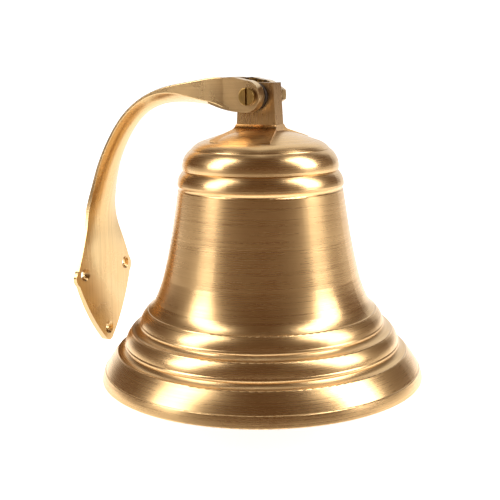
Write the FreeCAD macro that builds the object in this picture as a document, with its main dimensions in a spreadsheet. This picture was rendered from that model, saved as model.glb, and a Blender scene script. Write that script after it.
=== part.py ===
"""Ship bell on a wall bracket: FreeCAD 1.1 macro, millimetres.

The sketches are drawn about the hanging bell: Z is its axis, zero height is its rim, the arm
reaches towards -X, where the wall plate is, and the pivot screw lies along Y.  Every body is
then placed so that the origin is on the wall, in the middle of the circle of screw holes.
"""
import FreeCAD, Part
import math
import os

from FreeCAD import Placement, Rotation, Vector
from Sketcher import Constraint

NODES_FOLDER = "parts"

SIZES = {
    # bell
    "rim_radius": 127.0,
    "crown_boss_radius": 12.0,
    "crown_boss_bottom": 177.0,
    "staple_thread_radius": 4.0,
    "staple_thread_top": 190.0,
    # lug on the crown
    "lug_width_top": 29.0,
    "lug_width_base": 34.5,
    "lug_thick": 14.0,
    "lug_foot_width": 50.0,
    "lug_foot_radius": 43.0,
    "lug_foot_edge": 184.9,
    "lug_cove_out": 4.6,
    "lug_cove_drop": 3.9,
    "lug_cove_radius": 6.5,
    "lug_root": 185.5,
    "lug_cove_top": 197.6,
    "lug_top": 229.0,
    # pivot
    "pivot_height": 219.0,
    "pivot_radius": 4.0,
    "pivot_bore_radius": 4.05,
    "pivot_head_radius": 6.6,
    "pivot_head_height": 3.4,
    "pivot_slot_width": 1.6,
    "pivot_slot_depth": 1.6,
    "pivot_tip": 37.0,
    "nut_flats": 13.0,
    "nut_height": 6.5,
    "nut_washer_radius": 8.0,
    "nut_washer_thick": 1.6,
    "friction_washer_radius": 10.2,
    "friction_washer_thick": 3.6,
    # bracket
    "fork_half_width": 20.0,
    "fork_gap": 22.0,
    "fork_slot_end": 22.5,
    "cheek_radius": 12.0,
    "cheek_set_back": 2.6,
    "cheek_belly_radius": 76.7,
    "cheek_belly_end": 34.3,
    "arm_peak_x": -12.0,
    "arm_peak_height": 233.0,
    "arm_top_radius": 280.0,
    "arm_shoulder_radius": 80.0,
    "arm_back_radius": 151.0,
    "arm_top_angle": 14.0,
    "arm_shoulder_angle": 55.0,
    "wall_plane": -153.0,
    "plate_half_width": 38.5,
    "plate_widest_height": 70.0,
    "plate_tip_height": 8.5,
    "hole_circle_radius": 34.5,
    "hole_circle_height": 54.5,
    "hole_radius": 2.75,
    "countersink_radius": 5.6,
    # clapper
    "staple_washer_radius": 9.0,
    "staple_washer_thick": 1.2,
    "staple_eye_radius": 8.5,
    "staple_wire": 3.0,
    "staple_eye_height": 159.5,
    "jam_nut_height": 4.3,
    "jam_nut_flats": 13.0,
    "shackle_wire": 2.5,
    "shackle_gap": 0.5,
    "shackle_pin_drop": 13.0,
    "shackle_pin_radius": 2.5,
    "shackle_ear_radius": 5.5,
    "clapper_eye_radius": 7.0,
    "clapper_eye_thick": 5.6,
    "clapper_rod_radius": 4.0,
    "clapper_ball_radius": 17.0,
    "clapper_ball_height": 36.0,
    "tail_hub_radius": 5.5,
    "tail_eye_radius": 5.0,
    "tail_eye_wire": 2.0,
    "tail_eye_height": 8.0,
}

# Bell outline, each row (radius, height, arc radius), all in percent of the rim radius.
# The arc runs from the row before: positive bulges out of the metal, negative into it, and
# None is a straight line.
BELL_OUTSIDE = [
    (94.5, 0.0, 120.0),
    (99.2, 0.0, None),
    (100.0, 0.8, 0.8),
    (98.2, 6.6, 30.0),
    (97.6, 7.1, 0.8),
    (90.2, 17.6, 60.0),
    (89.4, 18.2, 0.8),
    (85.2, 20.6, -6.0),
    (84.9, 23.2, 2.2),
    (81.2, 30.4, 14.0),
    (80.3, 31.2, 1.0),
    (76.0, 33.4, -6.0),
    (75.6, 35.6, 2.2),
    (71.4, 42.6, 14.0),
    (70.4, 43.4, 1.0),
    (65.6, 49.4, -15.0),
    (60.2, 64.5, -85.0),
    (55.0, 88.3, -349.0),
    (50.4, 116.4, -800.0),
    (49.9, 117.3, -1.0),
    (50.7, 119.4, -2.4),
    (50.7, 120.6, None),
    (46.9, 128.2, 11.0),
    (47.5, 128.8, None),
    (47.6, 130.4, None),
    (42.4, 140.7, 12.0),
    (41.9, 141.3, -0.8),
    (34.4, 146.0, 14.0),
    (33.6, 146.3, -1.5),
    (0.0, 153.4, 110.0),
]
BELL_INSIDE = [
    (0.0, 139.4, None),
    (9.4, 139.4, None),
    (9.4, 143.6, None),
    (30.0, 141.4, -110.0),
    (44.6, 121.0, -20.0),
    (55.2, 66.0, None),
]

# Cross-sections of the arm: (place along it, half width, edge thickness, middle thickness).
# A place is the turn of the arm's back from level in degrees; past 90 it is a height instead.
ARM_SECTIONS = [
    (1.9, 20.0, 23.0, 23.4),
    (6.4, 19.6, 15.4, 19.6),
    (10.8, 17.9, 8.0, 14.6),
    (17.0, 16.0, 3.8, 11.0),
    (32.0, 14.4, 2.7, 8.6),
    (47.0, 13.9, 2.6, 7.8),
    (59.5, 14.2, 2.6, 7.6),
    (68.0, 15.2, 2.8, 7.5),
    (76.0, 16.8, 3.2, 7.4),
]
PLATE_SECTIONS = [
    (118.0, 22.0, 3.8, 7.2),
    (98.0, 31.0, 4.2, 7.0),
    (78.0, 41.0, 4.2, 7.0),
    (58.0, 44.0, 4.2, 7.0),
    (38.0, 44.0, 4.2, 7.0),
    (18.0, 44.0, 4.2, 7.0),
    (-2.0, 44.0, 4.2, 7.0),
]
BACK_SKIM = 1.0      # the plate is cast this much too thick, then its back is faced flat

doc = FreeCAD.newDocument("ShipBell")
sheet = doc.addObject("Spreadsheet::Sheet", "Sizes")
for row, (alias, value) in enumerate(SIZES.items(), start=1):
    sheet.set("A%d" % row, alias)
    sheet.set("B%d" % row, str(value))
    sheet.setAlias("B%d" % row, alias)
doc.recompute()


def number(expression):
    """What an expression on the sheet is worth; sizes in it are written Sizes.name."""
    result = sheet.evalExpression(str(expression))
    return float(getattr(result, "Value", result))


def size(alias):
    """Value of one cell of the sheet."""
    return number("Sizes." + alias)


# ---------------------------------------------------------------- sketches

def new_body(name):
    """An empty body whose name becomes the node's name."""
    body = doc.addObject("PartDesign::Body", name)
    body.Label = name
    body.setExpression("Placement.Base.x", "-Sizes.wall_plane")
    body.setExpression("Placement.Base.z", "-Sizes.hole_circle_height")
    return body


def origin_feature(body, role):
    """One of the body's own origin planes or axes."""
    return next(item for item in body.Origin.OriginFeatures if item.Role == role)


def new_sketch(body, name, plane, offset=Placement()):
    """A sketch on one of the body's origin planes, moved by an offset in that plane's frame."""
    sketch = body.newObject("Sketcher::SketchObject", "%s_%s" % (body.Name, name))
    sketch.AttachmentSupport = [(origin_feature(body, plane), "")]
    sketch.MapMode = "FlatFace"
    sketch.AttachmentOffset = offset
    doc.recompute()
    return sketch


def arc_between(start, end, radius):
    """Arc of the given radius; a positive radius bulges to the right of start-to-end."""
    chord = end - start
    sag = abs(radius) - math.sqrt(max(radius ** 2 - chord.Length ** 2 / 4, 0.0))
    right = Vector(chord.y, -chord.x, 0).normalize()
    return Part.Arc(start, (start + end) * 0.5 + right * math.copysign(sag, radius), end)


def place_coordinate(sketch, edge, point, letter, expression):
    """Ties one coordinate of a point to an expression; zero ties it to the sketch's axis."""
    value = number(expression)
    if abs(value) < 1e-9:
        axis = -2 if letter == "X" else -1
        sketch.addConstraint(Constraint("PointOnObject", edge, point, axis))
    else:
        index = sketch.addConstraint(Constraint("Distance" + letter, edge, point, value))
        sketch.setExpression("Constraints[%d]" % index, str(expression))


def place_point(sketch, edge, point, x, y):
    """Ties both coordinates of a point to expressions."""
    place_coordinate(sketch, edge, point, "X", x)
    place_coordinate(sketch, edge, point, "Y", y)


def add_outline(sketch, rows, closed=True):
    """Outline through (x, y, arc radius) rows of expressions, with every one of them tied.

    The arc runs from the row before, and None is a straight line.  Drawn anticlockwise, an
    outline bulges outwards where the radius is positive.
    """
    corners = [Vector(number(x), number(y), 0) for x, y, _ in rows]
    ends = []
    for index in range(len(rows) if closed else len(rows) - 1):
        follow = (index + 1) % len(rows)
        start, end, radius = corners[index], corners[follow], rows[follow][2]
        if radius is None:
            edge = sketch.addGeometry(Part.LineSegment(start, end))
        else:
            edge = sketch.addGeometry(arc_between(start, end, number(radius)))
        forward = sketch.getPoint(edge, 1).isEqual(start, 1e-6)
        ends.append((edge, 1, 2) if forward else (edge, 2, 1))
        place_point(sketch, edge, ends[-1][1], rows[index][0], rows[index][1])
        if radius is not None and (end - start).Length / 2 > abs(number(radius)) - 1e-6:
            # a half circle's radius follows from its ends, so its centre is tied instead
            upright = abs(end.x - start.x) < 1e-9
            letter, column = ("X", 0) if upright else ("Y", 1)
            place_coordinate(sketch, edge, 3, letter, rows[index][column])
        elif radius is not None:
            turn = sketch.addConstraint(Constraint("Radius", edge, abs(number(radius))))
            sketch.setExpression("Constraints[%d]" % turn, "abs(%s)" % radius)
    for before, after in zip(ends, ends[1:]):
        sketch.addConstraint(Constraint("Coincident", before[0], before[2], after[0], after[1]))
    if closed:
        last, first = ends[-1], ends[0]
        sketch.addConstraint(Constraint("Coincident", last[0], last[2], first[0], first[1]))
    else:
        place_point(sketch, ends[-1][0], ends[-1][2], rows[-1][0], rows[-1][1])
    return sketch


def add_circle(sketch, x, y, radius):
    """Circle with its centre and radius tied to expressions."""
    centre = Vector(number(x), number(y), 0)
    edge = sketch.addGeometry(Part.Circle(centre, Vector(0, 0, 1), number(radius)))
    place_point(sketch, edge, 3, x, y)
    index = sketch.addConstraint(Constraint("Radius", edge, number(radius)))
    sketch.setExpression("Constraints[%d]" % index, str(radius))
    return sketch


def hexagon(flats):
    """Corner rows of a hexagon with the given distance across its flats."""
    return [
        ("%s / cos(30 deg) / 2 * cos(%d deg)" % (flats, angle),
         "%s / cos(30 deg) / 2 * sin(%d deg)" % (flats, angle), None)
        for angle in range(30, 390, 60)
    ]


# ---------------------------------------------------------------- features

def add_pad(body, sketch, length, side="One side", reverse=False):
    pad = body.newObject("PartDesign::Pad", sketch.Name + "_pad")
    pad.Profile = sketch
    pad.SideType = side
    pad.Reversed = reverse
    pad.setExpression("Length", str(length))
    sketch.Visibility = False
    doc.recompute()
    return pad


def add_pocket(body, sketch, length=None):
    """Cut to a length both ways from the sketch, or right through when no length is given."""
    pocket = body.newObject("PartDesign::Pocket", sketch.Name + "_cut")
    pocket.Profile = sketch
    pocket.SideType = "Symmetric"
    if length is None:
        pocket.Type = "ThroughAll"
    else:
        pocket.setExpression("Length", str(length))
    sketch.Visibility = False
    doc.recompute()
    return pocket


def add_turned(body, sketch, axis="V_Axis"):
    turned = body.newObject("PartDesign::Revolution", sketch.Name + "_turned")
    turned.Profile = sketch
    turned.ReferenceAxis = (sketch, [axis])
    turned.Angle = 360
    sketch.Visibility = False
    doc.recompute()
    return turned


def add_groove(body, sketch, axis="V_Axis"):
    groove = body.newObject("PartDesign::Groove", sketch.Name + "_groove")
    groove.Profile = sketch
    groove.ReferenceAxis = (sketch, [axis])
    groove.Angle = 360
    sketch.Visibility = False
    doc.recompute()
    return groove


def add_ring(body, name, offset, ring_radius, wire_radius):
    """A ring of wire whose axis is along Y."""
    ring = body.newObject("PartDesign::AdditiveTorus", "%s_%s" % (body.Name, name))
    ring.AttachmentSupport = [(origin_feature(body, "XZ_Plane"), "")]
    ring.MapMode = "FlatFace"
    ring.AttachmentOffset = offset
    ring.setExpression("Radius1", ring_radius)
    ring.setExpression("Radius2", wire_radius)
    doc.recompute()
    return ring


# Sketch frames along Y: the XZ plane's own normal points to -Y.
def on_pivot(along=0.0):
    """Offset of an XZ sketch that puts its origin on the pivot axis, at Y = along."""
    return Placement(Vector(0, size("pivot_height"), -along), Rotation())


def at_height(height):
    """Offset of an XY sketch up to a height."""
    return Placement(Vector(0, 0, height), Rotation())


def raised(height):
    """Offset of an upright sketch, or of a ring on the same plane, up to a height."""
    return Placement(Vector(0, height, 0), Rotation())


PIVOT_LINE = raised(size("pivot_height"))

# ---------------------------------------------------------------- bell

def bell_rows(rows):
    """Outline rows in percent of the rim radius, as expressions on the sheet."""
    share = "%s * Sizes.rim_radius / 100"
    return [
        (share % radius, share % height, None if bulge is None else share % bulge)
        for radius, height, bulge in rows
    ]


def make_bell_shell():
    """The bell and its lug, cast in one piece and turned outside."""
    body = new_body("bell_shell")
    # the lug's foot fans out over the crown, on both sides
    foot = new_sketch(body, "lug_foot", "XY_Plane", at_height(size("lug_root")))
    narrow, wide = "Sizes.lug_width_base / 2", "Sizes.lug_foot_width / 2"
    end = "sqrt(Sizes.lug_foot_radius ^ 2 - Sizes.lug_foot_width ^ 2 / 4)"
    add_outline(foot, [
        ("-" + wide, "-" + end, None),
        (wide, "-" + end, "Sizes.lug_foot_radius"),
        (narrow, "-Sizes.lug_thick / 2", None),
        (narrow, "Sizes.lug_thick / 2", None),
        (wide, end, None),
        ("-" + wide, end, "Sizes.lug_foot_radius"),
        ("-" + narrow, "Sizes.lug_thick / 2", None),
        ("-" + narrow, "-Sizes.lug_thick / 2", None),
    ])
    add_pad(body, foot, "Sizes.lug_cove_top - Sizes.lug_root")
    # the slab stands on it, a little wider at its root
    slab = new_sketch(body, "lug_slab", "XZ_Plane")
    add_outline(slab, [
        ("-Sizes.lug_width_base / 2", "Sizes.lug_root", None),
        ("Sizes.lug_width_base / 2", "Sizes.lug_root", None),
        ("Sizes.lug_width_top / 2", "Sizes.lug_top", None),
        ("-Sizes.lug_width_top / 2", "Sizes.lug_top", None),
    ])
    add_pad(body, slab, "Sizes.lug_thick", "Symmetric")
    # and the foot's two roofs slope down from a small cove at the slab
    for name, side in (("front", "-"), ("rear", "")):
        roof = new_sketch(body, "lug_roof_" + name, "YZ_Plane")
        add_outline(roof, [
            (side + "Sizes.lug_thick / 2", "Sizes.lug_cove_top + 1", None),
            (side + "Sizes.lug_thick / 2", "Sizes.lug_cove_top", None),
            (side + "(Sizes.lug_thick / 2 + Sizes.lug_cove_out)", "Sizes.lug_cove_top - Sizes.lug_cove_drop",
             ("-" if side else "") + "Sizes.lug_cove_radius"),
            (side + "Sizes.lug_foot_radius", "Sizes.lug_foot_edge", None),
            (side + "(Sizes.lug_foot_radius + 3)", "Sizes.lug_cove_top + 1", None),
        ])
        add_pocket(body, roof)
    profile = new_sketch(body, "profile", "XZ_Plane")
    add_outline(profile, bell_rows(BELL_OUTSIDE + BELL_INSIDE))
    add_turned(body, profile)
    bore = new_sketch(body, "lug_bore", "XZ_Plane", PIVOT_LINE)
    add_circle(bore, "0", "0", "Sizes.pivot_bore_radius")
    add_pocket(body, bore)
    thread = new_sketch(body, "staple_thread", "XZ_Plane")
    add_outline(thread, [
        ("0", "Sizes.crown_boss_bottom - 5", None),
        ("Sizes.staple_thread_radius + 0.02", "Sizes.crown_boss_bottom - 5", None),
        ("Sizes.staple_thread_radius + 0.02", "Sizes.staple_thread_top", None),
        ("0", "Sizes.staple_thread_top + 2", None),
    ])
    add_groove(body, thread)
    return body


# ---------------------------------------------------------------- bracket

def arm_back(turn):
    """Point (x, z) on the arm's back where it has turned this many degrees from level."""
    stretches = (
        (size("arm_top_angle"), size("arm_top_radius")),
        (size("arm_shoulder_angle"), size("arm_shoulder_radius")),
        (90.0, size("arm_back_radius")),
    )
    x, z = size("arm_peak_x"), size("arm_peak_height")
    begin = 0.0
    for finish, radius in stretches:
        stop = min(turn, finish)
        x -= radius * (math.sin(math.radians(stop)) - math.sin(math.radians(begin)))
        z -= radius * (math.cos(math.radians(begin)) - math.cos(math.radians(stop)))
        if turn <= finish:
            break
        begin = finish
    return x, z


def arm_section(body, name, x, z, turn, half_width, edge, middle):
    """A D-shaped section of the arm: flat back, crowned front, corners rounded a little."""
    offset = Placement(Vector(0, z, x), Rotation(Vector(1, 0, 0), 180 - turn))
    sketch = new_sketch(body, name, "YZ_Plane", offset)
    soft = 0.8
    reach = half_width - soft
    crown = middle - edge
    add_outline(sketch, [
        (-reach, 0, soft),
        (reach, 0, None),
        (half_width, soft, soft),
        (half_width, edge - soft, None),
        (reach, edge, soft),
        (-reach, edge, (reach ** 2 + crown ** 2) / (2 * crown)),
        (-half_width, edge - soft, soft),
        (-half_width, soft, None),
    ])
    sketch.Visibility = False
    return sketch


def make_bracket_arm():
    """Fork, arm and wall plate, cast in one piece."""
    body = new_body("bracket_arm")
    sections = [
        arm_section(body, "arm_%d" % index, *arm_back(turn), turn, *shape)
        for index, (turn, *shape) in enumerate(ARM_SECTIONS)
    ]
    back = size("wall_plane") - BACK_SKIM
    sections += [
        arm_section(body, "plate_%d" % index, back, height, 90, *shape)
        for index, (height, *shape) in enumerate(PLATE_SECTIONS)
    ]
    loft = body.newObject("PartDesign::AdditiveLoft", "arm_and_plate")
    loft.Profile = sections[0]
    loft.Sections = sections[1:]
    doc.recompute()

    # the fork's two cheeks: one block, then the slot for the lug
    cheek = new_sketch(body, "cheek", "XZ_Plane")
    start_x, start_z = arm_back(ARM_SECTIONS[0][0])
    bottom, top = "Sizes.pivot_height - Sizes.cheek_radius", "Sizes.pivot_height + Sizes.cheek_radius"
    belly = "Sizes.cheek_belly_radius"
    rise = "(%s - sqrt(%s ^ 2 - (Sizes.cheek_belly_end - Sizes.cheek_set_back) ^ 2))" % (belly, belly)
    add_outline(cheek, [
        ("-Sizes.cheek_belly_end", bottom + " + " + rise, None),
        ("-Sizes.cheek_set_back", bottom, belly),
        ("-Sizes.cheek_set_back", top, "Sizes.cheek_radius"),
        ("Sizes.arm_peak_x", "Sizes.arm_peak_height", None),
        (start_x - 4, start_z - 0.4, None),
        ("-Sizes.cheek_belly_end", start_z - 4, None),
    ])
    add_pad(body, cheek, "2 * Sizes.fork_half_width", "Symmetric")
    slot = new_sketch(body, "fork_slot", "XY_Plane", at_height(size("pivot_height")))
    add_outline(slot, [
        ("-Sizes.fork_slot_end + 4", "-Sizes.fork_gap / 2", None),
        ("Sizes.cheek_radius + 5", "-Sizes.fork_gap / 2", None),
        ("Sizes.cheek_radius + 5", "Sizes.fork_gap / 2", None),
        ("-Sizes.fork_slot_end + 4", "Sizes.fork_gap / 2", None),
        ("-Sizes.fork_slot_end", "Sizes.fork_gap / 2 - 4", "4"),
        ("-Sizes.fork_slot_end", "-Sizes.fork_gap / 2 + 4", None),
    ])
    add_pocket(body, slot, "80")

    # the plate's outline, cut from the wide lower end of the arm
    widest, level = "Sizes.plate_half_width", "Sizes.plate_widest_height"
    tip = "Sizes.plate_tip_height"
    for name, side in (("left", -1), ("right", 1)):
        trim = new_sketch(body, "plate_outline_" + name, "YZ_Plane")
        rows = [
            ("16.4", "165", None),
            ("16.4", "150", None),
            ("23.0", "108", 150),
            (widest + " - 1.6", level + " + 6", None),
            (widest + " - 1.8", level + " - 7", -8),
            ("4", tip + " + 1.6", -170),
            ("0", tip, -5),
            ("0", tip + " - 20", None),
            ("60", tip + " - 20", None),
            ("60", "165", None),
        ]
        add_outline(trim, [
            ("%d * (%s)" % (side, y), z, None if radius is None else side * radius)
            for y, z, radius in rows
        ])
        add_pocket(body, trim)
    facing = new_sketch(body, "back_facing", "XZ_Plane")
    add_outline(facing, [
        ("Sizes.wall_plane - 10", -20, None),
        ("Sizes.wall_plane", -20, None),
        ("Sizes.wall_plane", 135, None),
        ("Sizes.wall_plane - 10", 135, None),
    ])
    add_pocket(body, facing)

    bore = new_sketch(body, "pivot_bore", "XZ_Plane", PIVOT_LINE)
    add_circle(bore, "0", "0", "Sizes.pivot_bore_radius")
    add_pocket(body, bore)

    # three countersunk screw holes, evenly spaced on a circle
    holes = new_sketch(body, "wall_holes", "YZ_Plane")
    spots = [
        ("Sizes.hole_circle_radius * cos(%d deg)" % angle,
         "Sizes.hole_circle_height + Sizes.hole_circle_radius * sin(%d deg)" % angle)
        for angle in (30, 150, 270)
    ]
    for across, height in spots:
        add_circle(holes, across, height, "Sizes.hole_radius")
    add_pocket(body, holes)
    for index, (across, height) in enumerate(spots):
        face_x = size("wall_plane") + plate_thickness(number(across)) + 0.4
        cone = body.newObject("PartDesign::SubtractiveCone", "countersink_%d" % index)
        cone.AttachmentSupport = [(origin_feature(body, "YZ_Plane"), "")]
        cone.MapMode = "FlatFace"
        cone.AttachmentOffset = Placement(
            Vector(number(across), number(height), face_x), Rotation(Vector(1, 0, 0), 180))
        cone.setExpression("Radius1", "Sizes.countersink_radius + 0.4")
        cone.setExpression("Radius2", "Sizes.hole_radius - 0.1")
        cone.setExpression("Height", "Sizes.countersink_radius - Sizes.hole_radius + 0.5")
        doc.recompute()
    return body


def plate_thickness(across):
    """Thickness of the crowned wall plate at a distance from its middle line."""
    _, half_width, edge, middle = PLATE_SECTIONS[-1]
    return middle - BACK_SKIM - (middle - edge) * (across / half_width) ** 2


# ---------------------------------------------------------------- pivot

def make_pivot():
    """The screw that the bell hangs on, with its washers and two nuts."""
    screw = new_body("pivot_screw")
    shaft = new_sketch(screw, "profile", "YZ_Plane", PIVOT_LINE)
    face = "-Sizes.fork_half_width"
    add_outline(shaft, [
        (face + " - Sizes.pivot_head_height", "0", None),
        ("Sizes.pivot_tip", "0", None),
        ("Sizes.pivot_tip", "Sizes.pivot_radius - 1", None),
        ("Sizes.pivot_tip - 1", "Sizes.pivot_radius", None),
        (face, "Sizes.pivot_radius", None),
        (face, "Sizes.pivot_head_radius", None),
        (face + " - Sizes.pivot_head_height + 0.6", "Sizes.pivot_head_radius", None),
        (face + " - Sizes.pivot_head_height", "Sizes.pivot_head_radius - 0.6", "-0.6"),
    ])
    add_turned(screw, shaft, "H_Axis")
    slot = new_sketch(screw, "slot", "XZ_Plane", on_pivot(
        -size("fork_half_width") - size("pivot_head_height")))
    add_outline(slot, [
        ("-Sizes.pivot_slot_width / 2", "-Sizes.pivot_head_radius - 1", None),
        ("Sizes.pivot_slot_width / 2", "-Sizes.pivot_head_radius - 1", None),
        ("Sizes.pivot_slot_width / 2", "Sizes.pivot_head_radius + 1", None),
        ("-Sizes.pivot_slot_width / 2", "Sizes.pivot_head_radius + 1", None),
    ])
    add_pocket(screw, slot, "2 * Sizes.pivot_slot_depth")

    front = 0.2 - size("fork_gap") / 2
    rear = -front - size("friction_washer_thick")
    for name, start in (("friction_washer_front", front), ("friction_washer_rear", rear)):
        make_washer(name, start, "Sizes.friction_washer_radius", "Sizes.friction_washer_thick")
    make_washer("nut_washer", size("fork_half_width"), "Sizes.nut_washer_radius", "Sizes.nut_washer_thick")

    start = size("fork_half_width") + size("nut_washer_thick")
    for name in ("pivot_nut", "pivot_lock_nut"):
        make_nut(name, start)
        start += size("nut_height")


def make_nut(name, start):
    """A hexagon nut on the pivot axis, from Y = start towards +Y, with its corners turned down."""
    nut = new_body(name)
    faces = new_sketch(nut, "hexagon", "XZ_Plane", on_pivot(start))
    add_outline(faces, hexagon("Sizes.nut_flats"))
    add_circle(faces, "0", "0", "Sizes.pivot_radius + 0.02")
    add_pad(nut, faces, "Sizes.nut_height", reverse=True)
    for end, face, way in (("low", start, 1), ("high", start + size("nut_height"), -1)):
        corners = new_sketch(nut, "corners_" + end, "YZ_Plane", PIVOT_LINE)
        add_outline(corners, corner_rows("Sizes.nut_flats", face, way))
        add_groove(nut, corners, "H_Axis")


def make_washer(name, start, outer, thick):
    """A flat washer on the pivot axis, from Y = start towards +Y."""
    washer = new_body(name)
    rings = new_sketch(washer, "rings", "XZ_Plane", on_pivot(start))
    add_circle(rings, "0", "0", outer)
    add_circle(rings, "0", "0", "Sizes.pivot_radius + 0.05")
    add_pad(washer, rings, thick, reverse=True)


def corner_rows(flats, face, way):
    """(along, radius) rows of the wedge that turns down a nut's corners at one face."""
    return [
        (face, flats + " / 2 - 0.2", None),
        ("%s + %d * (%s * 0.12 + 0.4)" % (face, way, flats), flats + " * 0.58 + 1.4", None),
        (face, flats + " * 0.58 + 1.4", None),
    ]


# ---------------------------------------------------------------- clapper

def make_staple():
    """The eye bolt in the crown that the clapper hangs from, with its jam nut and washer."""
    staple = new_body("clapper_staple")
    washer_bottom = size("crown_boss_bottom") - size("staple_washer_thick")
    nut_bottom = washer_bottom - size("jam_nut_height")
    add_ring(staple, "eye", raised(size("staple_eye_height")), "Sizes.staple_eye_radius", "Sizes.staple_wire")
    shank = new_sketch(staple, "shank", "XZ_Plane")
    thread = "Sizes.staple_thread_radius"
    add_outline(shank, [
        ("0", "Sizes.staple_eye_height + Sizes.staple_eye_radius", None),
        ("3.2", "Sizes.staple_eye_height + Sizes.staple_eye_radius", None),
        (thread + " + 1.5", nut_bottom - 1.2, None),
        (thread + " + 1.5", nut_bottom, None),
        (thread, nut_bottom, None),
        (thread, "Sizes.staple_thread_top - 2", None),
        (thread + " - 1", "Sizes.staple_thread_top - 1", None),
        ("0", "Sizes.staple_thread_top - 1", None),
    ])
    add_turned(staple, shank)

    washer = new_body("staple_washer")
    rings = new_sketch(washer, "rings", "XY_Plane", at_height(washer_bottom))
    add_circle(rings, "0", "0", "Sizes.staple_washer_radius")
    add_circle(rings, "0", "0", thread + " + 0.05")
    add_pad(washer, rings, "Sizes.staple_washer_thick")

    nut = new_body("staple_jam_nut")
    faces = new_sketch(nut, "hexagon", "XY_Plane", at_height(nut_bottom))
    add_outline(faces, hexagon("Sizes.jam_nut_flats"))
    add_circle(faces, "0", "0", thread + " + 0.02")
    add_pad(nut, faces, "Sizes.jam_nut_height")
    corners = new_sketch(nut, "corners", "XZ_Plane")
    rows = corner_rows("Sizes.jam_nut_flats", nut_bottom, 1)
    add_outline(corners, [(radius, along, None) for along, radius, _ in rows])
    add_groove(nut, corners)


def make_shackle():
    """The bow that links the clapper to the staple, and the pin through its two ears."""
    shackle = new_body("clapper_shackle")
    swing_height = size("staple_eye_height") - size("staple_eye_radius")
    pin_height = swing_height - size("shackle_pin_drop")
    bow = "(Sizes.staple_wire + Sizes.shackle_gap + Sizes.shackle_wire)"
    path = new_sketch(shackle, "path", "YZ_Plane")
    add_outline(path, [
        ("-" + bow, pin_height, None),
        ("-" + bow, swing_height, None),
        (bow, swing_height, "-" + bow),
        (bow, pin_height, None),
    ], closed=False)
    wire = new_sketch(shackle, "wire", "XY_Plane", at_height(pin_height))
    add_circle(wire, "0", "-" + bow, "Sizes.shackle_wire")
    sweep = shackle.newObject("PartDesign::AdditivePipe", "shackle_bow")
    sweep.Profile = wire
    sweep.Spine = (path, [])
    doc.recompute()
    ear_half = "(Sizes.shackle_wire + 0.2)"
    for name, middle in (("front", "-" + bow), ("rear", bow)):
        face = number(middle) - number(ear_half)
        ear = new_sketch(shackle, "ear_" + name, "XZ_Plane",
                         Placement(Vector(0, pin_height, -face), Rotation()))
        add_circle(ear, "0", "0", "Sizes.shackle_ear_radius")
        add_pad(shackle, ear, "2 * " + ear_half, reverse=True)
    bore = new_sketch(shackle, "pin_bore", "XZ_Plane", raised(pin_height))
    add_circle(bore, "0", "0", "Sizes.shackle_pin_radius + 0.02")
    add_pocket(shackle, bore)

    pin = new_body("shackle_pin")
    turned = new_sketch(pin, "profile", "YZ_Plane", raised(pin_height))
    radius = "Sizes.shackle_pin_radius"
    ear_face = "(%s + %s)" % (bow, ear_half)
    add_outline(turned, [
        ("-%s - 2.4" % ear_face, "0", None),
        ("%s + 1.2" % ear_face, "0", None),
        ("%s + 1.2" % ear_face, radius + " - 0.6", None),
        ("%s + 0.6" % ear_face, radius, None),
        ("-" + ear_face, radius, None),
        ("-" + ear_face, radius + " + 2", None),
        ("-%s - 1.6" % ear_face, radius + " + 2", None),
        ("-%s - 2.4" % ear_face, radius + " + 1.2", "-0.8"),
    ])
    add_turned(pin, turned, "H_Axis")
    slot = new_sketch(pin, "slot", "XZ_Plane", Placement(
        Vector(0, pin_height, number(ear_face) + 2.4), Rotation()))
    add_outline(slot, [
        ("-0.5", "-" + radius + " - 3", None),
        ("0.5", "-" + radius + " - 3", None),
        ("0.5", radius + " + 3", None),
        ("-0.5", radius + " + 3", None),
    ])
    add_pocket(pin, slot, "2")
    return pin_height


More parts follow.
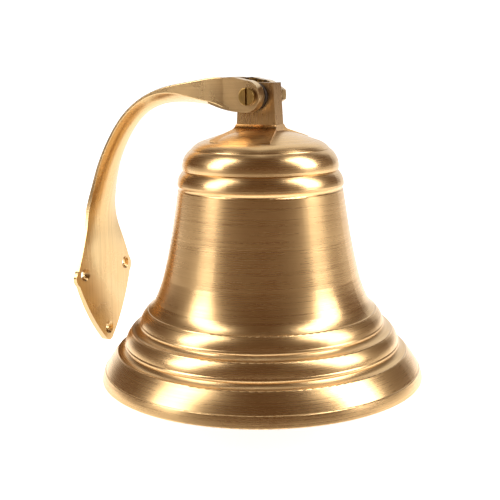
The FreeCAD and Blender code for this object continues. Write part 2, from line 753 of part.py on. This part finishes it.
def make_clapper(pin_height):
    """Rod with its eye, the ball on it, and the eye nut for a lanyard below."""
    rod = new_body("clapper_rod")
    eye = new_sketch(rod, "eye", "XZ_Plane", raised(pin_height))
    add_circle(eye, "0", "0", "Sizes.clapper_eye_radius")
    add_pad(rod, eye, "Sizes.clapper_eye_thick", "Symmetric")
    ball_top = "Sizes.clapper_ball_height + Sizes.clapper_ball_radius"
    ball_bottom = "Sizes.clapper_ball_height - Sizes.clapper_ball_radius"
    thin = "Sizes.clapper_eye_thick / 2 - 0.3"
    stem = "Sizes.clapper_rod_radius"
    shaft = new_sketch(rod, "shaft", "XZ_Plane")
    add_outline(shaft, [
        ("0", pin_height - 4.5, None),
        ("0", ball_bottom + " - 3.4", None),
        (stem + " - 1", ball_bottom + " - 3.4", None),
        (stem + " - 1", ball_top + " - 6", None),
        (stem + " + 1.6", ball_top + " - 0.6", None),
        (stem + " + 1.6", ball_top + " + 2", None),
        (stem, ball_top + " + 6", "-5"),
        (thin, pin_height - 12, None),
        (thin, pin_height - 4.5, None),
    ])
    add_turned(rod, shaft)
    bore = new_sketch(rod, "eye_bore", "XZ_Plane", raised(pin_height))
    add_circle(bore, "0", "0", "Sizes.shackle_pin_radius + 0.06")
    add_pocket(rod, bore)

    ball = new_body("clapper_ball")
    sphere = new_sketch(ball, "profile", "XZ_Plane")
    add_outline(sphere, [
        (stem + " - 0.98", ball_bottom + " + 0.6", None),
        (stem + " + 1.4", ball_bottom + " + 0.6", None),
        (stem + " + 1.7", ball_top + " - 0.6", "Sizes.clapper_ball_radius"),
        (stem + " + 1.62", ball_top + " - 0.6", None),
        (stem + " - 0.98", ball_top + " - 6.1", None),
    ])
    add_turned(ball, sphere)

    tail = new_body("clapper_tail_eye")
    add_ring(tail, "eye", raised(size("tail_eye_height")), "Sizes.tail_eye_radius", "Sizes.tail_eye_wire")
    hub = new_sketch(tail, "hub", "XZ_Plane")
    hub_bottom = "Sizes.tail_eye_height + Sizes.tail_eye_radius - 0.5"
    socket_bottom = "Sizes.tail_eye_height + Sizes.tail_eye_radius + Sizes.tail_eye_wire + 0.2"
    add_outline(hub, [
        ("0", hub_bottom, None),
        ("Sizes.tail_hub_radius - 2.5", hub_bottom, None),
        ("Sizes.tail_hub_radius", hub_bottom + " + 1.6", None),
        ("Sizes.tail_hub_radius", ball_bottom + " + 0.58", None),
        (stem + " - 0.98", ball_bottom + " + 0.58", None),
        (stem + " - 0.98", socket_bottom, None),
        ("0", socket_bottom, None),
    ])
    add_turned(tail, hub)


make_bell_shell()
make_bracket_arm()
make_pivot()
make_staple()
make_clapper(make_shackle())
doc.recompute()

os.makedirs(NODES_FOLDER, exist_ok=True)
for item in doc.Objects:
    if "Invalid" in item.State or "Error" in item.State:
        raise RuntimeError("%s did not compute: %s" % (item.Name, item.State))
for body in doc.findObjects("PartDesign::Body"):
    shape = body.Shape
    if shape.isNull() or not shape.isValid():
        raise RuntimeError("%s has no valid shape" % body.Name)
    shape.exportStep("%s/%s.step" % (NODES_FOLDER, body.Name))
    print("%-24s %9.0f mm3  %d solid(s)" % (body.Name, shape.Volume, len(shape.Solids)))
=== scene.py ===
# %% [markdown]
# # A ship bell on its wall bracket
#
# The bell, its bracket and the clapper's hardware were designed elsewhere and arrive as a
# finished frame of solid parts.  This lesson gives them their looks: turned and satin-brushed
# brass, a sand-cast surface inside the bell, small marks of handling, a studio and a camera.

import math

import bpy
from mathutils import Matrix, Vector


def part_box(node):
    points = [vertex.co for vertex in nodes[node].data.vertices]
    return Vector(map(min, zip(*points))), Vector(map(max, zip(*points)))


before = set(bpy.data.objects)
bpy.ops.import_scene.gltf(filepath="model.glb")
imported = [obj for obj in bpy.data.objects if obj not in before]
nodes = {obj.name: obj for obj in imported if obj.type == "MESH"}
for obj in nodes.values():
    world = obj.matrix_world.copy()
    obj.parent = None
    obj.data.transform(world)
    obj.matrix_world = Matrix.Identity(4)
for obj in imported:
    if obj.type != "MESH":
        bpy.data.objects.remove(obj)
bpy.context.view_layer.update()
print("parts:", sorted(nodes))

# %% [markdown]
# Everything is measured from the parts themselves.  The bell's axis runs through the middle of
# its rim, and the rim's radius is the yardstick for the camera and the lights.

# %% Find the bell's axis, rim and lug
MM = 0.001
bell_low, bell_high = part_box("bell_shell")
axis_x = (bell_low.x + bell_high.x) / 2
axis_y = (bell_low.y + bell_high.y) / 2
rim_z = bell_low.z
rim_radius = (bell_high.x - bell_low.x) / 2
lug_top_z = bell_high.z
print("axis at", round(axis_x, 4), round(axis_y, 4), "rim radius", round(rim_radius, 4))

# %% [markdown]
# Colours are written as hex values, the way a designer picks them, but shaders mix linear
# light.  One function turns a hex value into linear red, green and blue.

# %% Colour helper


def linear(hex_colour):
    """sRGB hex to linear RGBA."""
    parts = [int(hex_colour[i:i + 2], 16) / 255 for i in (1, 3, 5)]
    return tuple(c / 12.92 if c <= 0.04045 else ((c + 0.055) / 1.055) ** 2.4 for c in parts) + (1.0,)


print("brass in linear light:", [round(c, 3) for c in linear("#C69A54")])

# %% [markdown]
# A material is a graph of nodes.  One helper adds any node, sets its properties and fills its
# inputs: plain values in order, or by the input's name or number.  A value that comes from
# another node becomes a link.

# %% Node helper


def add(tree, kind, settings=None, *in_order, **named):
    """Adds a node; i6=... means input number 6, and Base_Color=... the input of that name."""
    made = tree.nodes.new("ShaderNode" + kind)
    for key, value in (settings or {}).items():
        setattr(made, key, value)
    wanted = dict(enumerate(in_order))
    for key, value in named.items():
        wanted[int(key[1:]) if key[1:].isdigit() else key.replace("_", " ")] = value
    for key, value in wanted.items():
        if isinstance(value, bpy.types.Node):
            value = value.outputs[0]
        if isinstance(value, bpy.types.NodeSocket):
            tree.links.new(value, made.inputs[key])
        else:
            made.inputs[key].default_value = value
    return made


def new_material(name):
    """An empty material and its graph."""
    material = bpy.data.materials.new(name)
    material.use_nodes = True
    material.node_tree.nodes.clear()
    return material, material.node_tree


def give(material, *names):
    """Puts a material on parts of the frame."""
    for name in names:
        mesh = nodes[name].data
        mesh.materials.clear()
        mesh.materials.append(material)


# Settings that are used again and again, under short names.
TIMES, PLUS, MINUS = ({"operation": word} for word in ("MULTIPLY", "ADD", "SUBTRACT"))
LENGTH, UNIT = {"operation": "LENGTH"}, {"operation": "NORMALIZE"}
DOT, SIZE_ONLY = {"operation": "DOT_PRODUCT"}, {"operation": "ABSOLUTE"}
COLOURS, NUMBERS = {"data_type": "RGBA"}, {"data_type": "FLOAT"}
FOUR_D = {"noise_dimensions": "4D"}
print("node helper ready")

# %% [markdown]
# ## Turned satin brass
#
# The bell is yellow brass, cast and then turned on a lathe.  The tool and the satin pad leave
# fine rings that all run round the bell's axis.  A texture painted on a map would stretch over
# the beads, so the rings are worked out from each point's distance from the axis and its
# height: points that the tool touched in the same turn get the same value.

# %% Place of a point about an axis


def about_axis(tree, centre, along):
    """The shaded point seen from an axis: its distance, place along it, and way out from it."""
    place = add(tree, "TexCoord").outputs["Object"]
    away = add(tree, "VectorMath", MINUS, place, centre)
    flat = add(tree, "VectorMath", TIMES, away, [1.0 - abs(part) for part in along])
    return {
        "place": place,
        "away": away,
        "distance": add(tree, "VectorMath", LENGTH, flat).outputs["Value"],
        "height": add(tree, "VectorMath", DOT, away, along).outputs["Value"],
        "outward": add(tree, "VectorMath", UNIT, flat),
    }


def rings(tree, axis, spacing, wander):
    """Marks that run round an axis, spaced so far apart and wandering a little as they go."""
    way = add(tree, "SeparateXYZ", None, axis["outward"])
    where = add(tree, "CombineXYZ", None,
                add(tree, "Math", TIMES, axis["distance"], 1 / spacing),
                add(tree, "Math", TIMES, axis["height"], 1 / spacing),
                add(tree, "Math", TIMES, way.outputs["X"], wander))
    turn = add(tree, "Math", TIMES, way.outputs["Y"], wander)
    return add(tree, "TexNoise", FOUR_D, where, turn, 1.0, 1.5, 0.6)


print("ring marks ready")

# %% [markdown]
# The bell's own finish.  Brass is a metal, so metallic is one and its colour is the colour of
# its reflections.  The satin is a roughness a little over a quarter, uneven where hands have
# polished it, and it blurs more across the rings than along them, so the shine on each bead is
# drawn out upwards.  Two widths of rings, the fine lathe feed and the coarser satin streaks,
# are pushed into the surface by a bump, and the deepest feed lines hold a little tarnish.  The
# inside was never turned: it stays as it left the sand, darker, duller and pitted.  The lug on
# top was only linished flat, and its colour is darkened with painted shade from the cheeks round it.

# %% Bell material
BRASS = linear("#E4BF8A")
BRASS_WARM = linear("#D9B681")
BRASS_PALE = linear("#CFB384")
BRASS_DULL = linear("#9A7344")
SAND_CAST = linear("#7A5A34")
FEED = 0.7 * MM        # the real feed is about 0.1 mm, drawn wider so that it shows
STREAK = 3.5 * MM
HAND_MARK = 45 * MM
GRIT = 1.6 * MM
LUG_FOOT = 36 * MM     # below the lug's top, where its coved foot meets the crown
LUG_REACH = 22 * MM    # the lug lies within this distance of the bell's axis
LUG_LINE = 18 * MM     # length of a belt line on the lug, each 1 mm wide
EDGE = 2 * MM          # width over which one finish gives way to the next
# painted shade: how far the lug's colour is darkened, as if shaded by the cheeks round it
LUG_PAINTED_SHADE = 0.5
STREAK_TARNISH = 0.12
LINE_TARNISH = 0.18
INSIDE_DULLNESS = 0.28
ACROSS_RINGS = 0.4     # how much more the rings blur upwards than sideways
QUARTER_TURN = 0.25    # turns that blur from along the rings to across them
LINE_DEPTH, STREAK_DEPTH, PIT_DEPTH = 0.02, 0.03, 0.5      # mm


def bell_material():
    """Satin brass outside, linished lug darkened with painted shade, sand-cast inside: a soft shine
    with fine level lines.
    """
    material, tree = new_material("satin_turned_brass")
    axis = about_axis(tree, (axis_x, axis_y, rim_z), (0, 0, 1))
    feed = rings(tree, axis, FEED, 0.3)
    streaks = rings(tree, axis, STREAK, 0.5)
    hands = add(tree, "TexNoise", None, axis["place"], Scale=1 / HAND_MARK, Detail=3.0)

    crown = lug_top_z - rim_z - LUG_FOOT
    above = add(tree, "MapRange", None, axis["height"], crown - EDGE, crown + EDGE)
    narrow = add(tree, "MapRange", None, axis["distance"], LUG_REACH, LUG_REACH - EDGE)
    lug = add(tree, "Math", TIMES, above, narrow)
    belt = add(tree, "VectorMath", TIMES, axis["away"], (1 / MM, 1 / MM, 1 / LUG_LINE))
    linished = add(tree, "TexNoise", None, belt, Scale=1.0, Detail=1.0)
    lines = add(tree, "Mix", NUMBERS, lug, i2=feed, i3=linished)

    facing = add(tree, "VectorMath", DOT, add(tree, "NewGeometry").outputs["Normal"], axis["outward"])
    inward = add(tree, "MapRange", None, facing.outputs["Value"], -0.02, -0.12)
    below = add(tree, "MapRange", None, axis["height"], crown - EDGE, crown - 3 * EDGE)
    inside = add(tree, "Math", TIMES, inward, below)
    grit = add(tree, "TexNoise", None, axis["place"], Scale=1 / GRIT, Detail=4.0, Roughness=0.7)

    warmth = add(tree, "MapRange", None, hands, 0.35, 0.75)
    darkening = add(tree, "MapRange", None, streaks, 0.35, 0.8, 0.0, STREAK_TARNISH)
    dark_lines = add(tree, "MapRange", None, lines, 0.46, 0.72, 0.0, LINE_TARNISH)
    darkening = add(tree, "Math", PLUS, darkening, dark_lines)
    # painted shade: the lug is darkened towards dull brass, as if in the shade of the cheeks; the
    # rest is tarnish
    darkening = add(tree, "Math", PLUS, darkening, add(tree, "Math", TIMES, lug, LUG_PAINTED_SHADE))
    colour = add(tree, "Mix", COLOURS, warmth, i6=BRASS, i7=BRASS_WARM).outputs[2]
    colour = add(tree, "Mix", COLOURS, darkening, i6=colour, i7=BRASS_DULL).outputs[2]
    colour = add(tree, "Mix", COLOURS, inside, i6=colour, i7=SAND_CAST).outputs[2]
    satin = add(tree, "MapRange", None, hands, 0.3, 0.7, 0.25, 0.31)
    brushed = add(tree, "MapRange", None, lines, 0.3, 0.7, -0.03, 0.04)
    satin = add(tree, "Math", PLUS, satin, brushed)
    dull = add(tree, "Math", TIMES, inside, INSIDE_DULLNESS)
    roughness = add(tree, "Math", PLUS, satin, dull)
    height = add(tree, "Math", TIMES, lines, LINE_DEPTH)
    height = add(tree, "Math", PLUS, height, add(tree, "Math", TIMES, streaks, STREAK_DEPTH))
    pits = add(tree, "Math", TIMES, add(tree, "Math", TIMES, grit, inside), PIT_DEPTH)
    height = add(tree, "Math", PLUS, height, pits)
    bump = add(tree, "Bump", None, Strength=1.0, Distance=1.0 * MM, Height=height)
    around = add(tree, "Tangent", {"direction_type": "RADIAL", "axis": "Z"})
    shader = add(tree, "BsdfPrincipled", None, Metallic=1.0, Base_Color=colour, Roughness=roughness,
                 Normal=bump, Tangent=around, Anisotropic=ACROSS_RINGS,
                 Anisotropic_Rotation=QUARTER_TURN)
    add(tree, "OutputMaterial", None, shader)
    return material


give(bell_material(), "bell_shell")
print("bell:", len(nodes["bell_shell"].data.polygons), "faces")

# %% [markdown]
# ## The bracket's brass
#
# The bracket is sand-cast too, then linished on a belt along its length, so its lines run
# along the arm.  Only the faces that a belt can't reach, between the two cheeks, keep the skin
# of the casting: rough and dark, with specks of bare brass.

# %% Bracket material
LINISH = 1.2 * MM
LINE_ON_ARM = 60 * MM          # length of a belt line on the arm and on a cheek
LINE_ON_CHEEK = 30 * MM
BRACKET_HAND_MARK = 30 * MM
SLOT_START, SLOT_FULL = -24 * MM, -22 * MM     # from the pivot, where the fork's slot begins
SKIN_DARK = linear("#3A2612")
SKIN_SPECK = linear("#A9834A")
SKIN_ROUGHNESS = 0.3           # added to the satin
BELT_DEPTH, SKIN_DEPTH = 0.04, 1.2             # mm
pivot_low, pivot_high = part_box("pivot_nut")
pivot_z = (pivot_low.z + pivot_high.z) / 2
washer_low, washer_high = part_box("friction_washer_front")
slot_half = max(abs(washer_low.y), abs(washer_high.y))
print("fork slot half width", round(slot_half / MM, 2), "mm, pivot height", round(pivot_z, 4))


def bracket_material():
    """Linished cast brass, pale and softly lined, with a rough dark slot between the cheeks."""
    material, tree = new_material("linished_cast_brass")
    axis = about_axis(tree, (axis_x, axis_y, pivot_z), (0, 1, 0))
    place = add(tree, "SeparateXYZ", None, axis["away"])
    normal = add(tree, "SeparateXYZ", None, add(tree, "NewGeometry").outputs["Normal"])
    sideways = add(tree, "Math", SIZE_ONLY, normal.outputs["Y"])
    across = add(tree, "VectorMath", TIMES, axis["away"],
                 (1 / LINE_ON_ARM, 1 / LINISH, 1 / LINE_ON_ARM))
    over_cheek = add(tree, "VectorMath", TIMES, axis["away"], (1 / LINE_ON_CHEEK, 0, 1 / LINISH))
    lines = add(tree, "Mix", NUMBERS, add(tree, "MapRange", None, sideways, 0.6, 0.8),
                i2=add(tree, "TexNoise", None, across, Scale=1.0, Detail=1.5),
                i3=add(tree, "TexNoise", None, over_cheek, Scale=1.0, Detail=1.5))
    hands = add(tree, "TexNoise", None, axis["place"], Scale=1 / BRACKET_HAND_MARK, Detail=3.0)
    grit = add(tree, "TexNoise", None, axis["place"], Scale=1 / GRIT, Detail=4.0, Roughness=0.7)
    off_middle = add(tree, "Math", SIZE_ONLY, place.outputs["Y"])
    between = add(tree, "MapRange", None, off_middle, slot_half + 0.6 * MM, slot_half + 0.3 * MM)
    free_end = add(tree, "MapRange", None, place.outputs["X"], SLOT_START, SLOT_FULL)
    skin = add(tree, "Math", TIMES, between, free_end)

    warmth = add(tree, "MapRange", None, hands, 0.35, 0.75)
    worn = add(tree, "MapRange", None, lines, 0.4, 0.8, 0.0, 0.25)
    colour = add(tree, "Mix", COLOURS, warmth, i6=BRASS_PALE, i7=BRASS_WARM).outputs[2]
    colour = add(tree, "Mix", COLOURS, worn, i6=colour, i7=BRASS_DULL).outputs[2]
    speckle = add(tree, "MapRange", None, grit, 0.42, 0.62)
    cast = add(tree, "Mix", COLOURS, speckle, i6=SKIN_DARK, i7=SKIN_SPECK).outputs[2]
    colour = add(tree, "Mix", COLOURS, skin, i6=colour, i7=cast).outputs[2]
    satin = add(tree, "MapRange", None, hands, 0.3, 0.7, 0.22, 0.32)
    rougher = add(tree, "Math", TIMES, skin, SKIN_ROUGHNESS)
    roughness = add(tree, "Math", PLUS, satin, rougher)
    height = add(tree, "Math", TIMES, lines, BELT_DEPTH)
    pits = add(tree, "Math", TIMES, add(tree, "Math", TIMES, grit, skin), SKIN_DEPTH)
    height = add(tree, "Math", PLUS, height, pits)
    bump = add(tree, "Bump", None, Strength=1.0, Distance=1.0 * MM, Height=height)
    shader = add(tree, "BsdfPrincipled", None, Metallic=1.0, Base_Color=colour, Roughness=roughness,
                 Normal=bump)
    add(tree, "OutputMaterial", None, shader)
    return material


give(bracket_material(), "bracket_arm")
print("bracket:", len(nodes["bracket_arm"].data.polygons), "faces")

# %% [markdown]
# ## Screws, nuts and the clapper
#
# The small pieces are turned from bar.  The pivot's pieces and nuts have their rings about the
# pivot's axis, and the clapper's pieces about the bell's axis.

# %% Turned hardware
TARNISH = linear("#6E5430")
PIVOT_TONE, CLAPPER_TONE = "#AD8A4E", "#B98F4E"
TOOL_MARK = 0.5 * MM
TOOL_MARK_DEPTH = 0.05 * MM
FINGER_MARK = 9 * MM


def hardware_material(name, centre, along, tone):
    """Brass bar turned about an axis: dull gold that fingers have browned in patches."""
    material, tree = new_material(name)
    axis = about_axis(tree, centre, along)
    fine = rings(tree, axis, TOOL_MARK, 0.3)
    hands = add(tree, "TexNoise", None, axis["place"], Scale=1 / FINGER_MARK, Detail=3.0)
    darkening = add(tree, "MapRange", None, hands, 0.35, 0.7)
    colour = add(tree, "Mix", COLOURS, darkening, i6=linear(tone), i7=TARNISH).outputs[2]
    roughness = add(tree, "MapRange", None, hands, 0.3, 0.7, 0.26, 0.40)
    bump = add(tree, "Bump", None, Strength=1.0, Distance=TOOL_MARK_DEPTH, Height=fine)
    shader = add(tree, "BsdfPrincipled", None, Metallic=1.0, Base_Color=colour, Roughness=roughness,
                 Normal=bump)
    add(tree, "OutputMaterial", None, shader)
    return material


pivot_brass = hardware_material("turned_pivot_brass", (axis_x, axis_y, pivot_z), (0, 1, 0),
                                PIVOT_TONE)
give(pivot_brass, *(name for name in nodes if name.startswith(("pivot_", "nut_"))))
clapper_brass = hardware_material("turned_clapper_brass", (axis_x, axis_y, 0), (0, 0, 1),
                                  CLAPPER_TONE)
give(clapper_brass, "clapper_staple", "staple_washer", "staple_jam_nut", "clapper_shackle",
     "shackle_pin", "clapper_rod", "clapper_ball", "clapper_tail_eye")
print("hardware materials ready")

# %% [markdown]
# The two washers that grip the bell's lug are vulcanised fibre, dry and slightly flecked.  Their
# near-black colour is painted shadow: it shows as the dark gap between each cheek and the lug.

# %% Fibre washers
# near-black fibre colours, painted shadow in the gap between each cheek and the lug
PAINTED_SHADOW_FIBRE_LIGHT, PAINTED_SHADOW_FIBRE_DARK = linear("#3A2A1C"), linear("#1C130C")
FLECK = 1.5 * MM
FLECK_DEPTH = 0.1 * MM


def painted_shadow_fibre_material():
    """Vulcanised fibre, punched from sheet: a dry dark brown, painted shadow between cheek and lug.
    """
    material, tree = new_material("fibre_dark_as_painted_shadow")
    place = add(tree, "TexCoord").outputs["Object"]
    flecks = add(tree, "TexNoise", None, place, Scale=1 / FLECK, Detail=3.0)
    depth = add(tree, "MapRange", None, flecks, 0.3, 0.7)
    # painted shadow: the washers' near-black colour stands for the shade between cheek and lug
    colour = add(tree, "Mix", COLOURS, depth, i6=PAINTED_SHADOW_FIBRE_LIGHT, i7=PAINTED_SHADOW_FIBRE_DARK).outputs[2]
    bump = add(tree, "Bump", None, Strength=1.0, Distance=FLECK_DEPTH, Height=flecks)
    shader = add(tree, "BsdfPrincipled", None, Base_Color=colour, Roughness=0.6, Normal=bump)
    add(tree, "OutputMaterial", None, shader)
    return material


give(painted_shadow_fibre_material(), "friction_washer_front", "friction_washer_rear")
print("washers: flecks", round(FLECK / MM, 2), "mm apart")

# %% [markdown]
# ## Studio
#
# Polished metal shows its surroundings more than itself.  The set is white behind the bell,
# with a tall softbox at each side and the dim room behind the camera, which is what draws the
# dark band down the middle of the bell.

# %% Camera
LENS = 68.1            # mm, on a sensor 36 mm wide
SENSOR_WIDTH = 36
CAMERA_TURN = math.radians(26)       # from square-on towards the free side of the bell
CAMERA_DISTANCE = 5.746 * rim_radius
CAMERA_HEIGHT = 1.892 * rim_radius
PITCH = math.radians(10.93)
YAW = math.radians(-0.68)
ROLL = math.radians(-0.60)

rim_centre = Vector((axis_x, axis_y, rim_z))
sideways = Vector((math.cos(CAMERA_TURN), math.sin(CAMERA_TURN), 0))
inwards = Vector((-math.sin(CAMERA_TURN), math.cos(CAMERA_TURN), 0))
up = Vector((0, 0, 1))
eye = rim_centre - inwards * CAMERA_DISTANCE + up * CAMERA_HEIGHT
level = sideways * math.sin(YAW) + inwards * math.cos(YAW)
ahead = level * math.cos(PITCH) - up * math.sin(PITCH)
right = sideways * math.cos(YAW) - inwards * math.sin(YAW)
top = right.cross(ahead)
rolled_right = right * math.cos(ROLL) + top * math.sin(ROLL)
rolled_top = top * math.cos(ROLL) - right * math.sin(ROLL)

camera_data = bpy.data.cameras.new("camera")
camera_data.lens = LENS
camera_data.sensor_width = SENSOR_WIDTH
camera = bpy.data.objects.new("camera", camera_data)
bpy.context.scene.collection.objects.link(camera)
turned = Matrix((rolled_right, rolled_top, -ahead)).transposed()
camera.matrix_world = Matrix.Translation(eye) @ turned.to_4x4()
bpy.context.scene.camera = camera
print("camera at", [round(part, 3) for part in eye])

# %% [markdown]
# The bell hangs over a backlit table of white acrylic, the kind that small products are shown
# on: it glows evenly, so that shadows stay faint and the undersides of the beads catch light.
# It lies a little below the rim, to let the bell swing out over it.  It ends not far in front
# of the bell, so that the upright faces of the bracket reflect the dim room and stay dark.

# %% Floor
FLOOR_DROP = 36 * MM
FLOOR_REACH = 12.0
FRONT_EDGE = 0.55      # metres from the bell's axis towards the camera
TABLE_GLOW = 0.95
corners = [
    rim_centre - up * FLOOR_DROP + sideways * across * FLOOR_REACH + inwards * deep
    for across, deep in ((-1, -FRONT_EDGE), (1, -FRONT_EDGE), (1, FLOOR_REACH), (-1, FLOOR_REACH))
]
floor_mesh = bpy.data.meshes.new("floor")
floor_mesh.from_pydata(corners, [], [(0, 1, 2, 3)])
floor = bpy.data.objects.new("floor", floor_mesh)
bpy.context.scene.collection.objects.link(floor)
acrylic, tree = new_material("backlit_white_acrylic")
shader = add(tree, "BsdfPrincipled", None, Base_Color=linear("#F4F3F1"), Roughness=0.6,
             Emission_Color=linear("#FFFDFA"), Emission_Strength=TABLE_GLOW)
add(tree, "OutputMaterial", None, shader)
floor_mesh.materials.append(acrylic)
print("table at height", round(corners[0].z, 4))

# %% [markdown]
# The world stands for the room.  It is brown and dim, because that is what the dark parts of
# the brass reflect, and it turns white behind the bell, where a sheet of paper would hang.

# %% Surroundings
ROOM_LOW = linear("#6E5540")
ROOM_HIGH = linear("#5C442E")
BACKDROP = linear("#FFFFFF")
BACKDROP_EDGE = (0.70, 0.86)   # cosines, from straight behind the bell, where the white fades in
SURROUNDINGS = 1.1             # brightness of everything round the set
SMOOTH = {"interpolation_type": "SMOOTHSTEP"}
world = bpy.data.worlds.new("white_studio")
bpy.context.scene.world = world
world.use_nodes = True
tree = world.node_tree
tree.nodes.clear()
way = add(tree, "TexCoord").outputs["Generated"]
flat_way = add(tree, "VectorMath", UNIT, add(tree, "VectorMath", TIMES, way, (1, 1, 0)))
away_from_camera = add(tree, "VectorMath", DOT, flat_way, inwards).outputs["Value"]
backdrop = add(tree, "MapRange", SMOOTH, away_from_camera, *BACKDROP_EDGE)
climb = add(tree, "SeparateXYZ", None, way).outputs["Z"]
raised = add(tree, "MapRange", SMOOTH, climb, 0.0, 0.7)
walls = add(tree, "Mix", COLOURS, raised, i6=ROOM_LOW, i7=ROOM_HIGH).outputs[2]
colour = add(tree, "Mix", COLOURS, backdrop, i6=walls, i7=BACKDROP).outputs[2]
add(tree, "OutputWorld", None, add(tree, "Background", None, colour, SURROUNDINGS))
print("room nodes:", len(tree.nodes))

# %% [markdown]
# The two softboxes are what the eye reads as the shine.  They are tall and narrow, so on the
# straight waist each draws an upright band and on each bead a short bright patch.  Their lower
# edges stay well above the bell, which keeps the lug and the cheeks brown.  The picture is
# shown without a film curve, so the white stays white and the brass keeps its colour.

# %% Softboxes
BOX_DISTANCE = 1.3     # metres
BOX_TALL = 1.20
AIM_HEIGHT = 0.9       # above the rim, in rim radii


def softbox(name, turn, climb, width, power):
    """A tall area light facing the bell, so many degrees round from the camera and raised."""
    data = bpy.data.lights.new(name, "AREA")
    data.shape = "RECTANGLE"
    data.size = width
    data.size_y = BOX_TALL
    data.energy = power
    light = bpy.data.objects.new(name, data)
    bpy.context.scene.collection.objects.link(light)
    turn, climb = math.radians(turn), math.radians(climb)
    level_way = sideways * math.sin(turn) - inwards * math.cos(turn)
    way_out = level_way * math.cos(climb) + up * math.sin(climb)
    light.location = rim_centre + up * rim_radius * AIM_HEIGHT + way_out * BOX_DISTANCE
    light.rotation_euler = (-way_out).to_track_quat("-Z", "Y").to_euler()


softbox("left_softbox", turn=-69, climb=36, width=0.50, power=12)
softbox("right_softbox", turn=76, climb=36, width=0.58, power=15)
bpy.context.scene.view_settings.view_transform = "Standard"
print("lights:", [item.name for item in bpy.data.lights])
